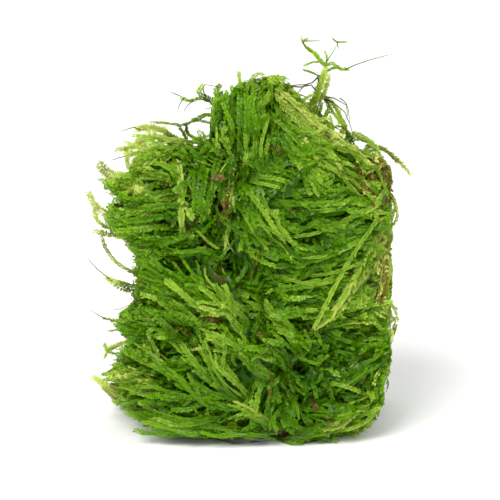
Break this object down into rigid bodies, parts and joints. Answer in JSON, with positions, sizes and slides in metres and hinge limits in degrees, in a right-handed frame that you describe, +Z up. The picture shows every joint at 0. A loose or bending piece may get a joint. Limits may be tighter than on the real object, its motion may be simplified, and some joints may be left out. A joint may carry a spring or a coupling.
{
  "type": "weeping moss on driftwood",
  "caption": "Bright green weeping moss in tufts tied round a small forked piece of driftwood with a flat-cut foot, standing upright, with stray sprigs at its top.",
  "frame": {"origin": "on the surface that the driftwood's flat-cut foot stands on, under the trunk", "axes": "+Z up, -Y towards the viewer of the picture, +X to the right in the picture"},
  "size_m": [0.0884, 0.0551, 0.1071],
  "materials": {
    "driftwood": "bare, soaked and dark, with long grain and knots",
    "moss": "wet leafy fronds, light green at the tips and dark between them"
  },
  "bodies": {
    "root": {"driftwood_trunk": "driftwood", "driftwood_left_branch": "driftwood", "driftwood_top_branch": "driftwood", "driftwood_right_branch": "driftwood", "moss_crown": "moss", "moss_upper_left": "moss", "moss_right": "moss", "moss_lower_left": "moss", "moss_lower_right": "moss", "moss_back_upper": "moss", "moss_back_lower": "moss"}
  },
  "joints": []
}
